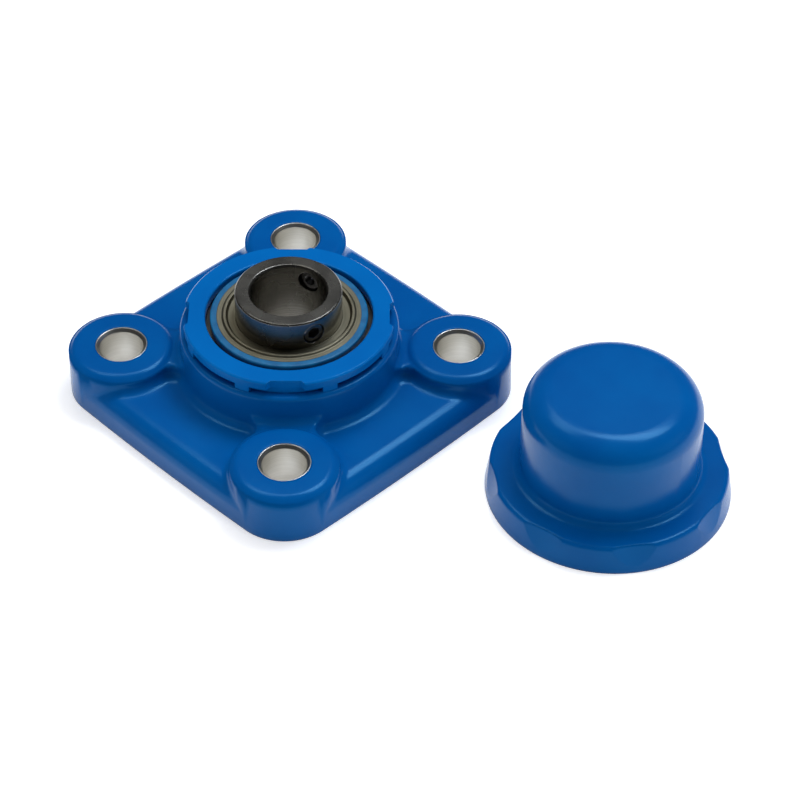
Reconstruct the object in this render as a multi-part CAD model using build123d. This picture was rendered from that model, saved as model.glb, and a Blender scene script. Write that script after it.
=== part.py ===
from build123d import *
from math import acos, asin, atan2, cos, degrees, pi, radians, sin, sqrt, tan
import os

# Four-bolt flange bearing unit for a 20 mm shaft, with its end cover standing beside it.
# Millimetres. The origin is the centre of the flange's back face, Z runs along the shaft
# and X and Y run parallel to the sides of the square flange.

# Mounting face
bolt_spacing = 63.5
sleeve_bore_radius = 5.85
sleeve_wall = 1.05
sleeve_gap = 0.04
sleeve_chamfer = 0.8
sleeve_rear_chamfer = 0.2
sleeve_land = 0.15

# Moulded flange
corner_radius = 14.3
side_bow = 0.5
plate_height = 9.4
plate_edge_radius = 5.0
boss_height = 14.2
boss_edge_radius = 2.5
wall_draft = 1.0
foot_radius = 2.6
valley_radius = 3.6
flank_angle = 9.0
web_height = 13.1
flare_radius = 2.0
flare_margin = 0.3
flare_depth = 1.0

# Insert bearing, built up from the shaft outwards
shaft_radius = 10.0
inner_wall = 4.1
inner_front = 18.3
inner_rear = 12.7
inner_bore_chamfer = 0.5
inner_edge_chamfer = 0.35
ball_count = 8
ball_radius = 3.969
ball_seat_depth = 1.319
ball_gap = 0.04
groove_relief = 0.151
outer_wall = 4.1
outer_edge_chamfer = 0.3

# Ball cage
cage_gap = 0.9
cage_back = 1.231
cage_crown = 2.3
cage_seal_gap = 0.1
pocket_gap = 0.13
finger_notch_radius = 1.9
finger_notch_rise = 0.4

# Rubber seals in the outer ring
seal_recess_step = 0.9
seal_recess_depth = 1.7
seal_thickness = 1.3
seal_gap = 0.04
seal_inner_gap = 0.2
seal_lip_width = 1.4
seal_rim_width = 1.5
seal_membrane = 0.7

# Self-aligning seat, shared by the flange and the retaining ring
back_clearance = 2.3
seat_gap = 0.08
mouth_lip = 1.4
spigot_wall = 2.1
spigot_gap = 0.05
spigot_end_gap = 0.1

# Hub of the flange
hub_rise = 6.2
hub_wall = 3.4
hub_edge_radius = 1.0
hub_overlap = 0.5

# Retaining ring that closes the seat and takes the end cover
neck_step = 0.9
neck_height = 1.7
rim_overhang = 1.5
rim_height = 2.4
rim_chamfer = 0.4
mouth_round = 0.5
notch_count = 4
notch_width = 8.0
notch_flare = 45.0
notch_overrun = 1.0
stop_near_angle = 20.0
stop_far_angle = 28.2

# Rubber lips, each just clear of the outer ring and of the seat's mouth
lip_clearance = 1.26
lip_band = 1.74
lip_drop = 0.1
lip_face_gap = 0.2
lip_wrap = 0.9
lip_backing = 0.7
lip_root = 0.2
lip_tip_inset = 0.3
lip_tip_width = 0.6
lip_round = 0.4

# Sheet-steel flingers on the inner ring, each inside its lip
flinger_gap = 0.02
flinger_sheet = 0.6
flinger_collar = 1.8
flinger_stand = 2.9
flinger_brim = 2.5
flinger_brim_rise = 0.4
flinger_bead_width = 0.7
flinger_bead_rise = 0.85
flinger_bend = 0.5
flinger_bend_shift = 0.2
flinger_bead_round = 0.25

# Grub screws
screw_count = 2
screw_spread = 120.0
first_screw_angle = -15.0
screw_face_distance = 4.4
screw_hole_radius = 3.0
screw_gap = 0.07
screw_tip_gap = 0.5
screw_recess = 0.4
screw_chamfer = 0.35
socket_flats = 3.0
socket_depth = 2.0

# Static seal in the back face
base_groove_inset = 2.4
base_groove_width = 2.4
base_groove_depth = 2.2
base_cord_radius = 1.05
base_cord_gap = 0.05

# End cover
cover_x = 85.8
cover_y = 31.87
cover_height = 33.1
cover_wall = 1.9
dome_draft = 0.6
dome_top_round = 7.0
dome_foot_round = 2.2
shelf_height = 7.7
shelf_width = 7.82
shelf_edge_round = 1.2
cover_taper = 1.15
cover_skirt_wall = 2.55
cover_seat_height = 1.8
cover_skirt_gap = 0.35
cover_rim_gap = 0.35
cover_face_gap = 0.2
scallop_count = 8
scallop_angle = 9.0
scallop_radius = 48.0
scallop_depth = 1.1
scallop_run_out = 2.0
lug_width = 7.0
lug_gap = 0.2
lug_reach = 0.55
lug_root = 0.5
cover_cord_radius = 0.6
cover_groove_height = 0.9
cover_groove_width = 1.3
cover_cord_squeeze = 0.2
cover_groove_gap = 0.05

# Sizes that follow from the values above
half_spacing = bolt_spacing / 2
boss_distance = half_spacing * sqrt(2)
draft_slope = tan(radians(wall_draft))
sleeve_radius = sleeve_bore_radius + sleeve_wall
inner_radius = shaft_radius + inner_wall
pitch_radius = inner_radius + ball_radius - ball_seat_depth
groove_radius = ball_radius + groove_relief
outer_shoulder_radius = pitch_radius + ball_radius - ball_seat_depth
sphere_radius = outer_shoulder_radius + outer_wall
half_width = ball_radius + cage_back + cage_seal_gap + seal_recess_depth
seat_height = inner_rear + back_clearance
seat_radius = sphere_radius + seat_gap
mouth_radius = sphere_radius - mouth_lip
spigot_radius = sphere_radius + spigot_wall
hub_height = seat_height + hub_rise
hub_radius = spigot_radius + hub_wall
neck_radius = spigot_radius + neck_step
neck_top = hub_height + neck_height
rim_radius = neck_radius + rim_overhang
rim_top = neck_top + rim_height
seal_recess_radius = outer_shoulder_radius + seal_recess_step
lip_outer_radius = mouth_radius - lip_clearance
flinger_edge_radius = lip_outer_radius - lip_band
flinger_step_radius = flinger_edge_radius - flinger_brim
dish_height = seat_height + half_width + flinger_stand
brim_height = dish_height + flinger_brim_rise
bead_height = dish_height + flinger_bead_rise
screw_height = seat_height + inner_front - screw_face_distance
screw_tip_radius = shaft_radius + screw_tip_gap
screw_length = inner_wall - screw_tip_gap - screw_recess
base_groove_radius = hub_radius - base_groove_inset
cover_skirt_radius = hub_radius + cover_skirt_gap
cover_foot_radius = cover_skirt_radius + cover_skirt_wall
shelf_edge_radius = cover_foot_radius - cover_taper
dome_radius = shelf_edge_radius - shelf_width


def rounded(face, corner, radius):
    """The face with one of its corners rounded."""
    spot = face.vertices().sort_by_distance((corner[0], corner[1], 0))[0]
    return fillet(spot, radius)


def section(*corners):
    """Half section through corners, each (r, z) or (r, z, rounding of that corner)."""
    face = make_face(Polyline(*[corner[:2] for corner in corners], close=True))
    for corner in corners:
        if len(corner) == 3:
            face = rounded(face, corner, corner[2])
    return face


def outlined(*runs):
    """Half section bounded by arcs and runs of straight lines that follow each other."""
    return make_face(Curve() + [edge for run in runs for edge in run.edges()])


def arc_about(r, z, radius, start, stop):
    """Arc about a point of the half section, between two angles in degrees."""
    return CenterArc((r, z), radius, start, stop - start)


def turned(face):
    """Solid turned about Z from a half section drawn in r and z."""
    return revolve(Plane.XZ * face, Axis.Z)


def mirrored_to_rear(shape):
    """The same piece on the rear side of the seat's centre plane."""
    return mirror(shape, Plane.XY.offset(seat_height))


def flange_outline():
    """Square with bowed sides and round corners that are centred on the bolt holes."""
    side_radius = corner_radius + (half_spacing**2 + side_bow**2) / (2 * side_bow)
    middle = half_spacing + corner_radius + side_bow
    offset = middle - side_radius
    corner = (offset + sqrt(2 * side_radius**2 - offset**2)) / 2
    corners = [(corner, -corner), (corner, corner), (-corner, corner), (-corner, -corner)]
    middles = [(middle, 0), (0, middle), (-middle, 0), (0, -middle)]
    sides = [ThreePointArc(corners[n], middles[n], corners[(n + 1) % 4]) for n in range(4)]
    face = make_face(Curve() + sides)
    return fillet(face.vertices(), corner_radius)


def pocket_plan(below):
    """Plan of the hollow between two bosses, on the +Y side, at a depth below the back face."""
    hub = hub_radius + (hub_height + below) * draft_slope
    boss = corner_radius + below * draft_slope
    along = (boss_distance**2 + (hub + valley_radius) ** 2 - (boss + valley_radius) ** 2) / (2 * boss_distance)
    across = sqrt((hub + valley_radius) ** 2 - along**2)
    diagonal = Vector(1, 1).normalized()
    normal = Vector(-1, 1).normalized()
    boss_centre = Vector(half_spacing, half_spacing)
    valley = diagonal * along + normal * across
    hub_end = valley.normalized() * hub
    boss_end = boss_centre + (valley - boss_centre).normalized() * boss
    valley_middle = valley - normal * valley_radius
    start = atan2(boss_end.Y - half_spacing, boss_end.X - half_spacing) % (2 * pi)
    stop = pi / 2 + radians(flank_angle)
    middle = (start + stop) / 2
    boss_middle = boss_centre + Vector(cos(middle), sin(middle)) * boss
    leave = boss_centre + Vector(cos(stop), sin(stop)) * boss
    out = leave + Vector(sin(stop), -cos(stop)) * corner_radius
    outer = Vector(out.X, 2 * half_spacing)
    half = [
        ThreePointArc(hub_end, valley_middle, boss_end),
        ThreePointArc(boss_end, boss_middle, leave),
        Line(leave, out),
        Line(out, outer),
    ]
    other_half = [mirror(edge, Plane.YZ) for edge in half]
    hub_arc = ThreePointArc(Vector(-hub_end.X, hub_end.Y), (0, hub), hub_end)
    closing = Line(Vector(-outer.X, outer.Y), outer)
    return make_face(Curve() + half + other_half + [hub_arc, closing])


def pocket_cutter(plate):
    """Tool that clears one side of the flange down to the plate, with a rounded foot."""
    below = plate_height
    tool = Pos(0, 0, -below) * extrude(pocket_plan(below), below + hub_height + 1, taper=-wall_draft)
    tool = tool - plate - Pos(0, 0, -below) * extrude(flange_outline(), below)
    inner = half_spacing + corner_radius + side_bow
    foot = []
    for edge in tool.edges():
        spot = edge @ 0.5
        near = spot.Y < inner and abs(spot.X) < half_spacing + 1
        plate_rim = abs(spot.X) < 1 and spot.Y > half_spacing
        if near and spot.Z < plate_height + 0.01 and not plate_rim:
            foot.append(edge)
    return fillet(foot, foot_radius)


def make_hub():
    """Hub with the rear half of the spherical seat, the ring's spigot bore and the base groove."""
    foot = hub_radius + hub_height * draft_slope
    dip = degrees(asin(sqrt(seat_radius**2 - mouth_radius**2) / seat_radius))
    seat = arc_about(0, seat_height, seat_radius, -dip, 0)
    bore = spigot_radius + spigot_gap
    inner = base_groove_radius - base_groove_width / 2
    outer = base_groove_radius + base_groove_width / 2
    run = Polyline(
        seat @ 1,
        (bore, seat_height),
        (bore, hub_height),
        (hub_radius, hub_height),
        (foot, 0),
        (outer, 0),
        (outer, base_groove_depth),
        (inner, base_groove_depth),
        (inner, 0),
        (mouth_radius, 0),
        seat @ 0,
    )
    return turned(rounded(outlined(seat, run), (hub_radius, hub_height), hub_edge_radius))


def make_hub_flare():
    """Ring that eases the hub's wall into the webs between hub and bosses."""
    wall = hub_radius + (hub_height - web_height) * draft_slope
    core = hub_radius - hub_overlap
    reach = wall + flare_radius + flare_margin
    top = (web_height + hub_height) / 2
    return turned(
        section(
            (core, web_height - flare_depth),
            (reach, web_height - flare_depth),
            (reach, web_height),
            (wall, web_height, flare_radius),
            (hub_radius + (hub_height - top) * draft_slope, top),
            (core, top),
        )
    )


def make_housing():
    """Square flange with four bosses and a hub that holds the rear half of the seat."""
    plate = extrude(flange_outline(), plate_height, taper=wall_draft)
    plate = fillet(plate.faces().sort_by(Axis.Z)[-1].edges(), plate_edge_radius)
    boss_top = corner_radius - boss_height * draft_slope
    boss_outline = section(
        (0, 0), (corner_radius, 0), (boss_top, boss_height, boss_edge_radius), (0, boss_height)
    )
    boss = turned(boss_outline)
    body = extrude(flange_outline(), web_height, taper=wall_draft)
    body -= Cylinder(hub_radius - hub_overlap, 3 * hub_height)
    body += make_hub()
    body += make_hub_flare()
    for place in GridLocations(bolt_spacing, bolt_spacing, 2, 2):
        body += place * boss
    tool = pocket_cutter(plate)
    for quarter in range(4):
        body -= Rot(0, 0, 90 * quarter) * tool
    for place in GridLocations(bolt_spacing, bolt_spacing, 2, 2):
        body -= place * Cylinder(sleeve_radius + sleeve_gap, 3 * boss_height)
    return body


def make_retaining_ring():
    """Ring with the front half of the seat, four notches, and stops that end the lugs' turn."""
    bottom = seat_height + spigot_end_gap
    low = degrees(asin(spigot_end_gap / seat_radius))
    high = degrees(asin(sqrt(seat_radius**2 - mouth_radius**2) / seat_radius))
    seat = arc_about(0, seat_height, seat_radius, low, high)
    run = Polyline(
        seat @ 1,
        (mouth_radius, rim_top),
        (rim_radius - rim_chamfer, rim_top),
        (rim_radius, rim_top - rim_chamfer),
        (rim_radius, neck_top),
        (neck_radius, neck_top),
        (neck_radius, hub_height),
        (spigot_radius, hub_height),
        (spigot_radius, bottom),
        seat @ 0,
    )
    ring = turned(rounded(outlined(seat, run), (mouth_radius, rim_top), mouth_round))
    stop_ring = turned(
        section(
            (neck_radius - neck_step / 2, hub_height),
            (rim_radius, hub_height),
            (rim_radius, neck_top + rim_height / 2),
            (neck_radius - neck_step / 2, neck_top + rim_height / 2),
        )
    )
    reach = 2 * rim_radius
    near, far = radians(stop_near_angle), radians(stop_far_angle)
    wedge = make_face(
        Polyline(
            (0, 0),
            (reach * cos(near), reach * sin(near)),
            (reach * cos(far), reach * sin(far)),
            close=True,
        )
    )
    stop = stop_ring & extrude(wedge, 2 * rim_top)
    notch_reach = rim_radius + notch_overrun
    flare = (notch_reach - neck_radius) / tan(radians(notch_flare))
    notch = Pos(0, 0, hub_height) * extrude(
        make_face(
            Polyline(
                (neck_radius, -notch_width / 2),
                (notch_reach, -notch_width / 2 - flare),
                (notch_reach, notch_width / 2 + flare),
                (neck_radius, notch_width / 2),
                close=True,
            )
        ),
        2 * rim_top,
    )
    for index in range(notch_count):
        turn = Rot(0, 0, 45 + 360 * index / notch_count)
        ring += turn * stop
        ring += turn * mirror(stop, Plane.XZ)
        ring -= turn * notch
    return ring


def make_bolt_sleeve():
    """Steel sleeve that takes the bolt's clamping force, with a wide chamfer at the front."""
    outer = sleeve_radius
    inner = sleeve_bore_radius
    land = sleeve_land / 2
    return turned(
        section(
            (inner, sleeve_rear_chamfer),
            (inner + sleeve_rear_chamfer, 0),
            (outer - land, 0),
            (outer, land),
            (outer, boss_height - land),
            (outer - land, boss_height),
            (inner + sleeve_chamfer, boss_height),
            (inner, boss_height - sleeve_chamfer),
        )
    )


def make_base_seal():
    """Rubber cord ring that closes the joint between the back face and the machine."""
    height = base_cord_gap + base_cord_radius
    return Pos(0, 0, height) * Torus(base_groove_radius, base_cord_radius)


def groove_half_angle(groove_centre, shoulder):
    """Angle from the groove's middle to where it leaves a shoulder of the same ring."""
    return degrees(acos(abs(shoulder - groove_centre) / groove_radius))


def make_outer_ring():
    """Outer ring with a spherical outside, a ball groove and a recess for each seal."""
    low = seat_height - half_width
    high = seat_height + half_width
    reach = half_width - outer_edge_chamfer
    edge = degrees(asin(reach / sphere_radius))
    face_radius = sqrt(sphere_radius**2 - reach**2) - outer_edge_chamfer
    centre = pitch_radius + ball_radius + ball_gap - groove_radius
    open_angle = groove_half_angle(centre, outer_shoulder_radius)
    sphere = arc_about(0, seat_height, sphere_radius, -edge, edge)
    groove = arc_about(centre, seat_height, groove_radius, open_angle, -open_angle)
    front = Polyline(
        sphere @ 1,
        (face_radius, high),
        (seal_recess_radius, high),
        (seal_recess_radius, high - seal_recess_depth),
        (outer_shoulder_radius, high - seal_recess_depth),
        groove @ 0,
    )
    rear = Polyline(
        groove @ 1,
        (outer_shoulder_radius, low + seal_recess_depth),
        (seal_recess_radius, low + seal_recess_depth),
        (seal_recess_radius, low),
        (face_radius, low),
        sphere @ 0,
    )
    return turned(outlined(sphere, front, groove, rear))


def make_inner_ring():
    """Long inner ring with its ball groove and the two threaded holes for grub screws."""
    low = seat_height - inner_rear
    high = seat_height + inner_front
    bore = inner_bore_chamfer
    edge = inner_edge_chamfer
    centre = pitch_radius - ball_radius - ball_gap + groove_radius
    open_angle = groove_half_angle(centre, inner_radius)
    groove = arc_about(centre, seat_height, groove_radius, 180 - open_angle, 180 + open_angle)
    run = Polyline(
        groove @ 1,
        (inner_radius, low + edge),
        (inner_radius - edge, low),
        (shaft_radius + bore, low),
        (shaft_radius, low + bore),
        (shaft_radius, high - bore),
        (shaft_radius + bore, high),
        (inner_radius - edge, high),
        (inner_radius, high - edge),
        groove @ 0,
    )
    body = turned(outlined(groove, run))
    for index in range(screw_count):
        turn = Rot(0, 0, first_screw_angle + index * screw_spread)
        hole = Pos(inner_radius, 0, screw_height) * Rot(0, 90, 0) * Cylinder(screw_hole_radius, inner_radius)
        body -= turn * hole
    return body


def make_front_seal():
    """Rubber seal with a thin membrane, pressed into the outer ring's recess."""
    back = seat_height + half_width - seal_recess_depth
    top = back + seal_thickness
    inner = inner_radius + seal_inner_gap
    lip = inner + seal_lip_width
    outer = seal_recess_radius - seal_gap
    rim = outer - seal_rim_width
    membrane_low = back + (seal_thickness - seal_membrane) / 2
    membrane_high = membrane_low + seal_membrane
    return turned(
        section(
            (inner, back),
            (lip, back),
            (lip, membrane_low),
            (rim, membrane_low),
            (rim, back),
            (outer, back),
            (outer, top),
            (rim, top),
            (rim, membrane_high),
            (lip, membrane_high),
            (lip, top),
            (inner, top),
        )
    )


def make_front_flinger():
    """Dished sheet-steel disc with a raised bead, pressed onto the inner ring."""
    inner = inner_radius + flinger_gap
    sheet = flinger_sheet
    step = flinger_step_radius
    crest = step + flinger_bead_width
    bend = flinger_bend
    shift = flinger_bend_shift
    return turned(
        section(
            (inner, dish_height - flinger_collar),
            (inner + sheet, dish_height - flinger_collar),
            (inner + sheet, dish_height - sheet),
            (step - bend + shift, dish_height - sheet),
            (step + shift, bead_height - sheet),
            (crest - shift, bead_height - sheet),
            (crest + bend - shift, brim_height - sheet),
            (flinger_edge_radius, brim_height - sheet),
            (flinger_edge_radius, brim_height),
            (crest + bend, brim_height),
            (crest, bead_height, flinger_bead_round),
            (step, bead_height, flinger_bead_round),
            (step - bend, dish_height),
            (inner, dish_height),
        )
    )


def make_front_lip():
    """Rubber lip bonded to the flinger's rim, running just clear of the outer ring."""
    tip = seat_height + half_width + lip_face_gap
    top = brim_height - lip_drop
    under = brim_height - flinger_sheet
    back = under - lip_backing
    edge = flinger_edge_radius
    return turned(
        section(
            (edge - lip_wrap, under),
            (edge - lip_wrap, back),
            (edge + lip_root, back - lip_root),
            (lip_outer_radius - lip_tip_inset - lip_tip_width, tip),
            (lip_outer_radius - lip_tip_inset, tip),
            (lip_outer_radius, top - 2 * lip_round),
            (lip_outer_radius, top, lip_round),
            (edge, top),
            (edge, under),
        )
    )


def make_ball(index):
    """One steel ball on the pitch circle."""
    angle = 360 * index / ball_count
    return Rot(0, 0, angle) * Pos(pitch_radius, 0, seat_height) * Sphere(ball_radius)


def make_ball_cage():
    """Crown cage: a moulded ring whose fingers snap over the balls from one side."""
    inner = inner_radius + cage_gap
    outer = outer_shoulder_radius - cage_gap
    low = seat_height - ball_radius - cage_back
    high = seat_height + cage_crown
    body = turned(section((inner, low), (outer, low), (outer, high), (inner, high)))
    for index in range(ball_count):
        turn = Rot(0, 0, 360 * index / ball_count)
        body -= turn * Pos(pitch_radius, 0, seat_height) * Sphere(ball_radius + pocket_gap)
        half_turn = Rot(0, 0, 360 * (index + 0.5) / ball_count)
        spot = Pos(pitch_radius, 0, high + finger_notch_rise)
        body -= half_turn * spot * Rot(0, 90, 0) * Cylinder(finger_notch_radius, pitch_radius / 2)
    return body


def make_grub_screw(index):
    """Cup-point set screw with a hex socket in its outer end."""
    radius = screw_hole_radius - screw_gap
    body = Cylinder(radius, screw_length, align=(Align.CENTER, Align.CENTER, Align.MIN))
    body = chamfer(body.edges().filter_by(GeomType.CIRCLE), screw_chamfer)
    socket = RegularPolygon(socket_flats / 2, 6, major_radius=False)
    body -= Pos(0, 0, screw_length - socket_depth) * extrude(socket, socket_depth)
    cup = Cone(radius / 2, 0, radius / 2, align=(Align.CENTER, Align.CENTER, Align.MIN))
    body -= cup
    turn = Rot(0, 0, first_screw_angle + index * screw_spread)
    return turn * Pos(screw_tip_radius, 0, screw_height) * Rot(0, 90, 0) * body


def scallop_tool():
    """Cylinder that cuts one finger grip into the cover's rim and runs out above its foot."""
    top_r = shelf_edge_radius - scallop_depth
    slope = (cover_foot_radius - shelf_edge_radius) / shelf_height
    foot_r = cover_foot_radius - slope * scallop_run_out
    rise = shelf_height - scallop_run_out
    tilt = degrees(atan2(foot_r - top_r, rise))
    tool = Pos(scallop_radius, 0, 0) * Cylinder(scallop_radius, 4 * shelf_height)
    return Pos(foot_r, 0, scallop_run_out) * Rot(0, -tilt, 0) * tool


def make_end_cover():
    """Moulded cap: domed pot on a flat shelf with finger grips, and four lugs inside."""
    dome_foot = dome_radius + (cover_height - shelf_height) * tan(radians(dome_draft))
    body = turned(
        section(
            (0, 0),
            (cover_foot_radius, 0),
            (shelf_edge_radius, shelf_height, shelf_edge_round),
            (dome_foot, shelf_height, dome_foot_round),
            (dome_radius, cover_height, dome_top_round),
            (0, cover_height),
        )
    )
    for index in range(scallop_count):
        body -= Rot(0, 0, scallop_angle + 360 * index / scallop_count) * scallop_tool()
    seat = cover_seat_height
    skirt = cover_skirt_radius
    bore = rim_radius + cover_rim_gap
    ceiling = seat + neck_height + rim_height + cover_face_gap
    pot_top = cover_height - cover_wall
    pot_radius = dome_radius - cover_wall
    pot_foot = dome_foot - cover_wall
    body -= turned(
        section(
            (0, -1),
            (skirt, -1),
            (skirt, seat),
            (bore, seat),
            (bore, ceiling),
            (pot_foot, ceiling),
            (pot_radius, pot_top, dome_top_round - cover_wall),
            (0, pot_top),
        )
    )
    floor = skirt - cover_cord_squeeze + 2 * cover_cord_radius + cover_groove_gap
    low = cover_groove_height - cover_groove_width / 2
    high = cover_groove_height + cover_groove_width / 2
    body -= turned(section((skirt - 1, low), (floor, low), (floor, high), (skirt - 1, high)))
    lug_ring = turned(
        section(
            (rim_radius - lug_reach, seat + lug_gap),
            (bore + lug_root, seat + lug_gap),
            (bore + lug_root, seat + neck_height - lug_gap),
            (rim_radius - lug_reach, seat + neck_height - lug_gap),
        )
    )
    for index in range(notch_count):
        bar = Pos(rim_radius, 0, seat) * Box(rim_radius / 2, lug_width, 4 * neck_height)
        body += lug_ring & (Rot(0, 0, scallop_angle + 360 * index / notch_count) * bar)
    return Pos(cover_x, cover_y, 0) * body


def make_cover_seal():
    """Rubber cord ring in the groove of the cover's skirt."""
    centre = cover_skirt_radius - cover_cord_squeeze + cover_cord_radius
    return Pos(cover_x, cover_y, cover_groove_height) * Torus(centre, cover_cord_radius)


nodes = {
    "housing": make_housing(),
    "retaining_ring": make_retaining_ring(),
    "base_seal": make_base_seal(),
    "outer_ring": make_outer_ring(),
    "front_seal": make_front_seal(),
    "rear_seal": mirrored_to_rear(make_front_seal()),
    "inner_ring": make_inner_ring(),
    "front_flinger": make_front_flinger(),
    "rear_flinger": mirrored_to_rear(make_front_flinger()),
    "front_flinger_lip": make_front_lip(),
    "rear_flinger_lip": mirrored_to_rear(make_front_lip()),
    "ball_cage": make_ball_cage(),
    "end_cover": make_end_cover(),
    "cover_seal": make_cover_seal(),
}
for number, place in enumerate(GridLocations(bolt_spacing, bolt_spacing, 2, 2), start=1):
    nodes[f"bolt_sleeve_{number}"] = place * make_bolt_sleeve()
for number in range(ball_count):
    nodes[f"ball_{number + 1}"] = make_ball(number)
for number in range(screw_count):
    nodes[f"grub_screw_{number + 1}"] = make_grub_screw(number)

os.makedirs("parts", exist_ok=True)
for name, shape in nodes.items():
    export_step(shape, f"parts/{name}.step")
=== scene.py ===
"""Looks of the four-bolt flange bearing, with its end cover standing beside it. Metres."""
import bmesh
import bpy
from math import cos, radians, sin
from mathutils import Matrix, Vector


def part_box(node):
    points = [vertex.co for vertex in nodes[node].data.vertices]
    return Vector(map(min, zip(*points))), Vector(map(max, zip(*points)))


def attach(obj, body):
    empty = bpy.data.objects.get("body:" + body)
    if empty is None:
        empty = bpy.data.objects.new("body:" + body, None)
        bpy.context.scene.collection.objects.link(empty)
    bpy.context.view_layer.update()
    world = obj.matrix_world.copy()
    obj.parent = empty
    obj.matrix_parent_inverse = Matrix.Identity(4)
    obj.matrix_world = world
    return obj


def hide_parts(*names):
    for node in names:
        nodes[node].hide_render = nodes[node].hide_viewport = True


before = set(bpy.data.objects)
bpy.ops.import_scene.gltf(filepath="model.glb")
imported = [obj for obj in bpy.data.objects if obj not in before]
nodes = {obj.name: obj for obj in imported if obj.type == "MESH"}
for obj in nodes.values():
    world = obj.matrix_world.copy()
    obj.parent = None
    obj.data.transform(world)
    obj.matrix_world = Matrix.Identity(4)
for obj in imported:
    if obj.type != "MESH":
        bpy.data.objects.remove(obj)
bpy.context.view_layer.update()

MM = 0.001
SEAM = 0.001 * MM  # points nearer than this are one point
REAL_EDGE = radians(35)  # faces that meet at more than this have a sharp edge between them


def middle(name):
    """Centre of a node's box at rest."""
    low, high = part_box(name)
    return (low + high) / 2


def linear(code):
    """sRGB hex such as 0058A0 as linear RGBA."""
    parts = [int(code[i:i + 2], 16) / 255 for i in (0, 2, 4)]
    return [c / 12.92 if c <= 0.04045 else ((c + 0.055) / 1.055) ** 2.4 for c in parts] + [1.0]


def add(tree, kind, inputs=(), **settings):
    """A node with its settings, and its inputs as values or as the sockets that feed them."""
    made = tree.nodes.new(kind)
    for key, value in settings.items():
        setattr(made, key, value)
    for key, value in dict(inputs).items():
        if isinstance(value, bpy.types.NodeSocket):
            tree.links.new(value, made.inputs[key])
        else:
            made.inputs[key].default_value = value
    return made


def blank(name):
    """A new material without nodes, and its node tree."""
    made = bpy.data.materials.new(name)
    made.use_nodes = True
    made.node_tree.nodes.clear()
    return made, made.node_tree


# Glass-filled polyester from a finely eroded mould: deep even colour under a satin skin that
# scatters highlights wide and a little blue, slightly cloudy where the melt flowed, and round on
# every edge, by that many millimetres. The grit is drawn at 0.5 mm, coarser than real, to show
def moulded_polyester(name, dark, pale, edge):
    made, tree = blank(name)
    place = add(tree, "ShaderNodeTexCoord").outputs["Object"]
    clouds = add(tree, "ShaderNodeTexNoise", {
        "Vector": place, "Scale": 1 / (16 * MM), "Detail": 3.0})
    grit = add(tree, "ShaderNodeTexNoise", {
        "Vector": place, "Scale": 1 / (0.5 * MM), "Detail": 2.0})
    flow = add(tree, "ShaderNodeMapRange", {
        "Value": clouds.outputs[0], "From Min": 0.3, "From Max": 0.7})
    hue = add(tree, "ShaderNodeMix", {
        0: flow.outputs[0], 6: linear(dark), 7: linear(pale)}, data_type="RGBA")
    sheen = add(tree, "ShaderNodeMapRange", {
        "Value": grit.outputs[0], "To Min": 0.18, "To Max": 0.26})
    soft = add(tree, "ShaderNodeBevel", {"Radius": edge * MM}, samples=8)
    relief = add(tree, "ShaderNodeBump", {
        "Height": grit.outputs[0], "Strength": 0.10, "Distance": 0.05 * MM,
        "Normal": soft.outputs[0]})
    shader = add(tree, "ShaderNodeBsdfPrincipled", {
        "Base Color": hue.outputs[2], "Roughness": sheen.outputs[0],
        "Normal": relief.outputs[0], "IOR": 1.5, "Specular IOR Level": 0.3,
        "Specular Tint": linear("78D8FF")})
    add(tree, "ShaderNodeOutputMaterial", {"Surface": shader.outputs[0]})
    return made


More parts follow.
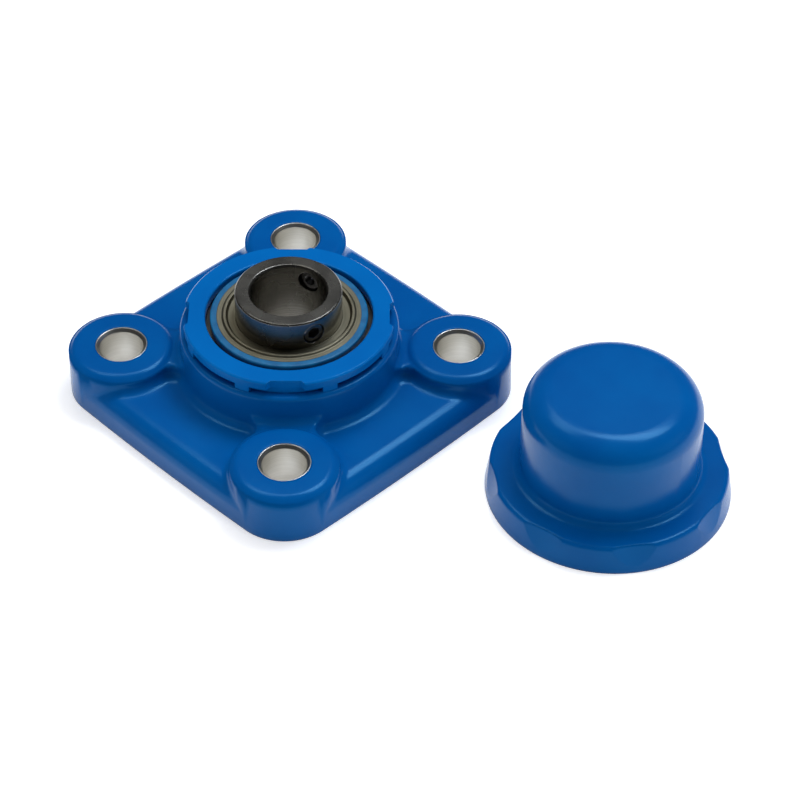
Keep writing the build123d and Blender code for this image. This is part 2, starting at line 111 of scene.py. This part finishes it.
# Steel turned or ground about a line along Z: fine rings round it, tiny pits, edges worn round by
# a quarter of a millimetre, and a tone that drifts where oil has dried. Rings of 0.16 mm and pits
# of 0.3 mm are coarser than real, to show
def turned_steel(name, dark, pale, low, high, centre=(0, 0, 0), depth=0.05):
    made, tree = blank(name)
    place = add(tree, "ShaderNodeTexCoord").outputs["Object"]
    moved = add(tree, "ShaderNodeMapping", {
        "Vector": place, "Location": [-c for c in centre]})
    parts = add(tree, "ShaderNodeSeparateXYZ", {"Vector": moved.outputs[0]})
    across = add(tree, "ShaderNodeCombineXYZ", {
        "X": parts.outputs["X"], "Y": parts.outputs["Y"]})
    radius = add(tree, "ShaderNodeVectorMath", {0: across.outputs[0]}, operation="LENGTH")
    profile = add(tree, "ShaderNodeCombineXYZ", {
        "X": radius.outputs["Value"], "Y": parts.outputs["Z"]})
    rings = add(tree, "ShaderNodeTexNoise", {
        "Vector": profile.outputs[0], "Scale": 1 / (0.16 * MM), "Detail": 2.0},
        noise_dimensions="2D")
    pits = add(tree, "ShaderNodeTexNoise", {
        "Vector": moved.outputs[0], "Scale": 1 / (0.3 * MM), "Detail": 1.0})
    stains = add(tree, "ShaderNodeTexNoise", {
        "Vector": moved.outputs[0], "Scale": 1 / (9 * MM), "Detail": 2.0})
    uneven = add(tree, "ShaderNodeMath", {
        0: rings.outputs[0], 1: stains.outputs[0]}, operation="MULTIPLY")
    tone = add(tree, "ShaderNodeMapRange", {
        "Value": uneven.outputs[0], "From Min": 0.12, "From Max": 0.42})
    hue = add(tree, "ShaderNodeMix", {
        0: tone.outputs[0], 6: linear(dark), 7: linear(pale)}, data_type="RGBA")
    sheen = add(tree, "ShaderNodeMapRange", {
        "Value": stains.outputs[0], "To Min": low, "To Max": high})
    worn = add(tree, "ShaderNodeBevel", {"Radius": 0.25 * MM}, samples=6)
    relief = add(tree, "ShaderNodeBump", {
        "Height": rings.outputs[0], "Strength": depth, "Distance": 0.03 * MM,
        "Normal": worn.outputs[0]})
    pitted = add(tree, "ShaderNodeBump", {
        "Height": pits.outputs[0], "Strength": 3 * depth, "Distance": 0.03 * MM,
        "Normal": relief.outputs[0]})
    shader = add(tree, "ShaderNodeBsdfPrincipled", {
        "Base Color": hue.outputs[2], "Roughness": sheen.outputs[0],
        "Normal": pitted.outputs[0], "Metallic": 1.0})
    add(tree, "ShaderNodeOutputMaterial", {"Surface": shader.outputs[0]})
    return made


# Rubber or nylon from a smooth mould: dull, with a faint bloom that varies over a few millimetres
def moulded_soft(name, dark, pale, rough):
    made, tree = blank(name)
    place = add(tree, "ShaderNodeTexCoord").outputs["Object"]
    bloom = add(tree, "ShaderNodeTexNoise", {
        "Vector": place, "Scale": 1 / (2.5 * MM), "Detail": 4.0})
    tone = add(tree, "ShaderNodeMapRange", {
        "Value": bloom.outputs[0], "From Min": 0.35, "From Max": 0.7})
    hue = add(tree, "ShaderNodeMix", {
        0: tone.outputs[0], 6: linear(dark), 7: linear(pale)}, data_type="RGBA")
    sheen = add(tree, "ShaderNodeMapRange", {
        "Value": bloom.outputs[0], "To Min": rough, "To Max": rough + 0.12})
    shader = add(tree, "ShaderNodeBsdfPrincipled", {
        "Base Color": hue.outputs[2], "Roughness": sheen.outputs[0], "IOR": 1.52,
        "Specular IOR Level": 0.35})
    add(tree, "ShaderNodeOutputMaterial", {"Surface": shader.outputs[0]})
    return made


# Housing: its four sides are alike and each side mirrors itself, so the whole moulding follows
# from the eighth between the +Y axis and the corner. The solid has no hollow on -Y; this one has
bm = bmesh.new()
bm.from_mesh(nodes["housing"].data)
bmesh.ops.remove_doubles(bm, verts=bm.verts, dist=SEAM)
for outside in ((-1, 0, 0), (1, -1, 0)):
    bmesh.ops.bisect_plane(
        bm, geom=bm.verts[:] + bm.edges[:] + bm.faces[:], dist=SEAM, plane_co=(0, 0, 0),
        plane_no=outside, clear_outer=True)
for turn, axis in ((-45, "Y"), (45, "X"), (0, "Y")):
    about_z = Matrix.Rotation(radians(turn), 3, "Z")
    bmesh.ops.rotate(bm, verts=bm.verts, cent=(0, 0, 0), matrix=about_z)
    bmesh.ops.mirror(
        bm, geom=bm.verts[:] + bm.edges[:] + bm.faces[:], merge_dist=SEAM, axis=axis)
    bmesh.ops.remove_doubles(bm, verts=bm.verts, dist=SEAM)
bmesh.ops.recalc_face_normals(bm, faces=bm.faces)
moulding_mesh = bpy.data.meshes.new("moulded_housing")
bm.to_mesh(moulding_mesh)
bm.free()
moulding_mesh.shade_smooth()
moulding_mesh.set_sharp_from_angle(angle=REAL_EDGE)
moulding = bpy.data.objects.new("moulded_housing", moulding_mesh)
bpy.context.scene.collection.objects.link(moulding)
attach(moulding, "housing_body")
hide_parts("housing")

polyester = moulded_polyester("satin blue polyester", "004E94", "00569C", 1.0)
ring_polyester = moulded_polyester("satin blue polyester ring", "005FAB", "0066B2", 0.3)
ground_steel = turned_steel("ground bearing steel", "7E7C76", "9A978F", 0.22, 0.32)
# The outer ring's steel is darker than the inner ring's: painted shade for the narrow gap between
# the housing's mouth and the lip, the only place it shows
shaded_outer_steel = turned_steel("outer ring steel darkened as painted shade", "5E5E5C", "757572", 0.25, 0.38)
passivated_sheet = turned_steel(
    "olive passivated sheet steel", "7A7562", "938E7A", 0.42, 0.52)
blue_nitrile = moulded_soft("blue nitrile lip", "075888", "0B6898", 0.36)
black_nitrile = moulded_soft("black nitrile seal", "1A1A1B", "242425", 0.55)
black_oxide = turned_steel("black oxide screw steel", "646466", "848486", 0.18, 0.28)
ball_steel = turned_steel("polished ball steel", "B8B8B6", "C4C4C2", 0.08, 0.14, depth=0.0)
nylon = moulded_soft("natural nylon cage", "CFC6A8", "DAD2B8", 0.40)

finish = {
    polyester: ("end_cover",),
    ring_polyester: ("retaining_ring",),
    ground_steel: ("inner_ring",),
    shaded_outer_steel: ("outer_ring",),
    passivated_sheet: ("front_flinger", "rear_flinger"),
    blue_nitrile: ("front_flinger_lip", "rear_flinger_lip"),
    black_nitrile: ("front_seal", "rear_seal", "base_seal", "cover_seal"),
    black_oxide: ("grub_screw_1", "grub_screw_2"),
    ball_steel: [name for name in nodes if name.startswith("ball_") and name != "ball_cage"],
    nylon: ("ball_cage",),
}
# Each bolt sleeve has its own zinc, because its turned rings go round its own middle
for name in [name for name in nodes if name.startswith("bolt_sleeve")]:
    zinc = turned_steel(f"bright zinc {name}", "D2D0C9", "E4E2DC", 0.28, 0.40, middle(name))
    finish[zinc] = (name,)
for material, worn_by in finish.items():
    for name in worn_by:
        nodes[name].data.materials.clear()
        nodes[name].data.materials.append(material)
moulding.data.materials.append(polyester)

# Floor: a hair below the object, with its soft shadow. The floor's glow makes it white to the
# camera and in reflections and lights nothing. Far out, where the lamps fade, it glows more for
# the camera alone, so that low views end in white too
FLOOR_DROP = 0.02 * MM
FLOOR_REACH = 3.0
GLOW = 0.35
FAR_GLOW = 0.6
FADE_START, FADE_END = 0.3, 0.9
WHITE = linear("FFFFFF")
bm = bmesh.new()
bmesh.ops.create_grid(bm, x_segments=1, y_segments=1, size=FLOOR_REACH)
bmesh.ops.translate(bm, verts=bm.verts, vec=(0, 0, -FLOOR_DROP))
floor_mesh = bpy.data.meshes.new("floor")
bm.to_mesh(floor_mesh)
bm.free()
floor = bpy.data.objects.new("floor", floor_mesh)
bpy.context.scene.collection.objects.link(floor)
sweep, tree = blank("white sweep")
path = add(tree, "ShaderNodeLightPath")
bare = add(tree, "ShaderNodeMath", {
    0: path.outputs["Is Camera Ray"], 1: path.outputs["Is Glossy Ray"]}, operation="MAXIMUM")
paint = add(tree, "ShaderNodeBsdfDiffuse", {"Color": WHITE})
place = add(tree, "ShaderNodeTexCoord").outputs["Object"]
reach = add(tree, "ShaderNodeVectorMath", {0: place}, operation="LENGTH")
far = add(tree, "ShaderNodeMapRange", {
    "Value": reach.outputs["Value"], "From Min": FADE_START, "From Max": FADE_END,
    "To Max": FAR_GLOW})
strength = add(tree, "ShaderNodeMath", {
    0: far.outputs[0], 1: path.outputs["Is Camera Ray"], 2: GLOW}, operation="MULTIPLY_ADD")
glow = add(tree, "ShaderNodeEmission", {"Color": WHITE, "Strength": strength.outputs[0]})
both = add(tree, "ShaderNodeAddShader", {0: paint.outputs[0], 1: glow.outputs[0]})
seen = add(tree, "ShaderNodeMixShader", {
    0: bare.outputs[0], 1: paint.outputs[0], 2: both.outputs[0]})
add(tree, "ShaderNodeOutputMaterial", {"Surface": seen.outputs[0]})
floor.data.materials.append(sweep)

# Room: white where the camera looks past the floor, a dim fill on the object, and darker still
# in its own gloss, because the real one mirrors a dark room
ROOM_FILL = 0.22
ROOM_IN_GLOSS = 0.03
world = bpy.data.worlds.new("studio room")
bpy.context.scene.world = world
world.use_nodes = True
tree = world.node_tree
tree.nodes.clear()
path = add(tree, "ShaderNodeLightPath")
clear = add(tree, "ShaderNodeMath", {
    0: path.outputs["Is Camera Ray"], 1: path.outputs["Is Transmission Ray"]},
    operation="MAXIMUM")
fill = add(tree, "ShaderNodeBackground", {"Color": WHITE, "Strength": ROOM_FILL})
ceiling = add(tree, "ShaderNodeBackground", {"Color": WHITE, "Strength": ROOM_IN_GLOSS})
white = add(tree, "ShaderNodeBackground", {"Color": WHITE, "Strength": 1.0})
lit = add(tree, "ShaderNodeMixShader", {
    0: path.outputs["Is Glossy Ray"], 1: fill.outputs[0], 2: ceiling.outputs[0]})
mixed = add(tree, "ShaderNodeMixShader", {
    0: clear.outputs[0], 1: lit.outputs[0], 2: white.outputs[0]})
add(tree, "ShaderNodeOutputWorld", {"Surface": mixed.outputs[0]})

# The camera and the lamps all point here
AIM = Vector((36.5, 4.95, 15.0)) * MM
LAMP_DISTANCE = 0.8


def softbox(name, direction, width, height, watts, colour="FFFFFF", mirrored=True):
    """A rectangular soft light one way from the object, that its gloss mirrors or not."""
    lamp = bpy.data.lights.new(name, "AREA")
    lamp.shape = "RECTANGLE"
    lamp.size = width
    lamp.size_y = height
    lamp.energy = watts
    lamp.color = linear(colour)[:3]
    place = AIM + Vector(direction).normalized() * LAMP_DISTANCE
    holder = bpy.data.objects.new(name, lamp)
    toward = (AIM - place).to_track_quat("-Z", "Y")
    holder.matrix_world = Matrix.Translation(place) @ toward.to_matrix().to_4x4()
    holder.visible_glossy = mirrored
    bpy.context.scene.collection.objects.link(holder)


softbox("overhead softbox", (0, 0, 1), 0.9, 0.9, 1.4, mirrored=False)
softbox("left fill softbox", (-0.45, -0.9, 0.35), 0.6, 0.4, 1.3, mirrored=False)
softbox("right fill softbox", (0.9, 0.45, 0.35), 0.6, 0.4, 2.0, mirrored=False)
softbox("right rear softbox", (-0.04, 0.44, 0.90), 0.46, 0.26, 3.6, "EAF2FF")
softbox("left rear softbox", (-0.44, 0.04, 0.90), 0.46, 0.26, 1.3)

# Camera fitted to the photograph: a long lens over the front corner, 43 degrees down, with a
# quarter of a degree of roll
TURN = radians(45.0)
RISE = radians(42.62)
ROLL = radians(0.25)
CAMERA_DISTANCE = 0.705
FOCAL_PIXELS = 2714.0
PICTURE_PIXELS = 800.0
SENSOR = 36.0  # Blender's camera counts its sensor and focal length in millimetres
toward_camera = Vector((sin(TURN), -cos(TURN), 0))
camera_right = Vector((cos(TURN), sin(TURN), 0))
back = toward_camera * cos(RISE) + Vector((0, 0, 1)) * sin(RISE)
level_up = back.cross(camera_right)
right = camera_right * cos(ROLL) + level_up * sin(ROLL)
top = back.cross(right)
lens = bpy.data.cameras.new("camera")
lens.sensor_width = SENSOR
lens.lens = SENSOR * FOCAL_PIXELS / PICTURE_PIXELS
lens.clip_start = 0.01
camera = bpy.data.objects.new("camera", lens)
stance = Matrix((right, top, back)).transposed().to_4x4()
camera.matrix_world = Matrix.Translation(AIM + back * CAMERA_DISTANCE) @ stance
bpy.context.scene.collection.objects.link(camera)
bpy.context.scene.camera = camera

bpy.context.scene.view_settings.view_transform = "Standard"
